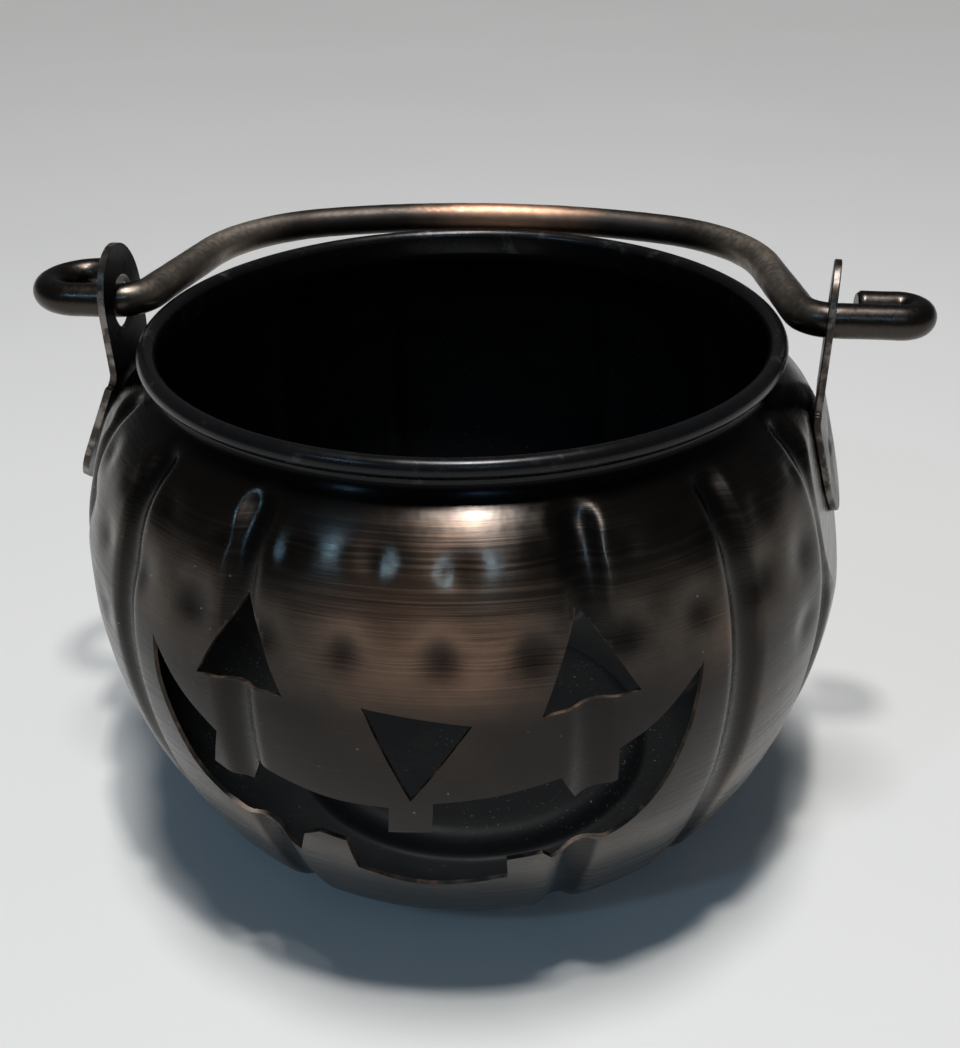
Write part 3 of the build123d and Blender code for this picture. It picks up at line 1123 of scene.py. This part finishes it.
def ear_pattern(lean):
    # The ear as a flat sheet in Y and Z, cut across at its bend, and the points of its weld mark.
    mesh = bmesh.new()
    rings = []
    for loop in (*ear_loops(), *weld_rings(lean)):
        rings.append([mesh.verts.new((0, y, z)) for y, z in loop])
    welds = rings[2:]
    edges = []
    for verts in (*rings[:2], welds[0]):
        edges.extend(mesh.edges.new((verts[step - 1], verts[step])) for step in range(len(verts)))
    bmesh.ops.triangle_fill(mesh, edges=edges, use_beauty=True, use_dissolve=False)
    for big, small in zip(welds[:-1], welds[1:]):
        for step in range(len(big)):
            mesh.faces.new((big[step - 1], big[step], small[step], small[step - 1]))
    mesh.faces.new(welds[-1])
    for index in range(ear_slices):
        spot = (0, 0, ear_slice_start + index * ear_sheet * ear_slice_share)
        geometry = mesh.verts[:] + mesh.edges[:] + mesh.faces[:]
        bmesh.ops.bisect_plane(mesh, geom=geometry, plane_co=spot, plane_no=(0, 0, 1), dist=touch)
    sunk = {vert for ring in welds[1:] for vert in ring}
    return mesh, sunk


def bend_ear(mesh, sunk, lean, press):
    # Bends the flat sheet and gives it its thickness. Its edges take the second material.
    flat_faces = list(mesh.faces)
    outer = {}
    for vert in list(mesh.verts):
        vert.co.x, way = ear_section(vert.co.z, lean, press)
        thickness = ear_sheet - weld_depth if vert in sunk else ear_sheet
        outer[vert] = mesh.verts.new(vert.co + Vector((way[0], 0, way[1])) * thickness)
    rims = [edge for edge in mesh.edges if len(edge.link_faces) == 1]
    for face in flat_faces:
        mesh.faces.new([outer[vert] for vert in face.verts])
    for edge in rims:
        a, b = edge.verts
        mesh.faces.new((a, b, outer[b], outer[a])).material_index = 1
    bmesh.ops.recalc_face_normals(mesh, faces=mesh.faces)


def ear_mesh(name, side, turn, lean, press):
    mesh, sunk = ear_pattern(lean)
    bend_ear(mesh, sunk, lean, press)
    bmesh.ops.transform(mesh, matrix=ear_twist(turn), verts=mesh.verts)
    if side < 0:
        for vert in mesh.verts:
            vert.co.x = -vert.co.x
        bmesh.ops.reverse_faces(mesh, faces=mesh.faces)
    merge_angle = math.radians(ear_merge_angle)
    bmesh.ops.dissolve_limit(mesh, angle_limit=merge_angle, verts=mesh.verts, edges=mesh.edges)
    data = bpy.data.meshes.new(name)
    mesh.to_mesh(data)
    mesh.free()
    return data


def make_ear(name, node_name, materials, side, turn, lean, press):
    ear = add_object(name, ear_mesh(name, side, turn, lean, press))
    for material in materials:
        ear.data.materials.append(material)
    round_edge = ear.modifiers.new("round", "BEVEL")
    round_edge.width = ear_edge_round
    round_edge.segments = ear_edge_segments
    round_edge.limit_method = "ANGLE"
    round_edge.angle_limit = math.radians(ear_edge_angle)
    round_edge.material = 1
    smooth_by_angle(ear.data, ear_sharp_angle)
    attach(ear, "pail")
    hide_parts(node_name)


def make_ears():
    materials = (ear_material(), worn_material())
    right = (1, right_ear_turn, right_ear_lean, right_ear_press)
    left = (-1, left_ear_turn, left_ear_lean, left_ear_press)
    make_ear("ear_right_look", "ear_right", materials, *right)
    make_ear("ear_left_look", "ear_left", materials, *left)


# Stage, lights and camera

def make_floor():
    corners = [(-1, -1), (1, -1), (1, 1), (-1, 1)]
    places = [(x * floor_reach, y * floor_reach, 0) for x, y in corners]
    mesh = bpy.data.meshes.new("floor")
    mesh.from_pydata(places, [], [(0, 1, 2, 3)])
    mesh.materials.append(floor_material())
    floor = add_object("floor", mesh)


def aim(lamp, way):
    lamp.rotation_euler = Vector(way).to_track_quat("-Z", "Y").to_euler()


def make_sky():
    sun = bpy.data.lights.new("sky_light", "SUN")
    sun.energy = sky_power
    sun.angle = math.radians(sky_spread)
    aim(add_object("sky_light", sun), sky_way)


def make_lamp(name, spot, size, power, tint):
    area = bpy.data.lights.new(name, "AREA")
    area.shape = "RECTANGLE"
    area.size, area.size_y = size
    area.energy = power
    area.color = tint
    lamp = add_object(name, area)
    lamp.location = spot
    aim(lamp, Vector(lamp_target) - Vector(spot))


def make_room():
    world = bpy.data.worlds.new("room")
    world.use_nodes = True
    back = world.node_tree.nodes["Background"]
    back.inputs["Color"].default_value = room_grey
    back.inputs["Strength"].default_value = room_strength
    bpy.context.scene.world = world


def make_lights():
    make_sky()
    make_lamp("top_light", top_spot, top_size, top_power, top_tint)
    make_lamp("left_window", left_window_spot, left_window_size, left_window_power, window_tint)
    make_lamp("right_window", right_window_spot, right_window_size, right_window_power, window_tint)
    make_room()


def make_camera():
    turn = Matrix.Rotation(math.radians(pail_turn), 3, "Z")
    pitch = math.radians(camera_pitch)
    forward = Vector((0, math.cos(pitch), -math.sin(pitch)))
    up = Vector((0, math.sin(pitch), math.cos(pitch)))
    right = Vector((1, 0, 0))
    roll = math.radians(camera_roll)
    tilted_right = right * math.cos(roll) + up * math.sin(roll)
    tilted_up = up * math.cos(roll) - right * math.sin(roll)
    spot = turn @ Vector((camera_across, -camera_back, camera_height))
    axes = Matrix((turn @ tilted_right, turn @ tilted_up, turn @ -forward)).transposed()
    lens = bpy.data.cameras.new("camera")
    lens.sensor_fit = "HORIZONTAL"
    lens.sensor_width = sensor_width
    lens.lens = focal_pixels / picture_width * sensor_width
    lens.clip_start = camera_near
    camera = add_object("camera", lens)
    camera.matrix_world = Matrix.Translation(spot) @ axes.to_4x4()
    bpy.context.scene.camera = camera


make_shell()
make_bail()
make_ears()
make_floor()
make_lights()
make_camera()
bpy.context.scene.view_settings.view_transform = "Standard"
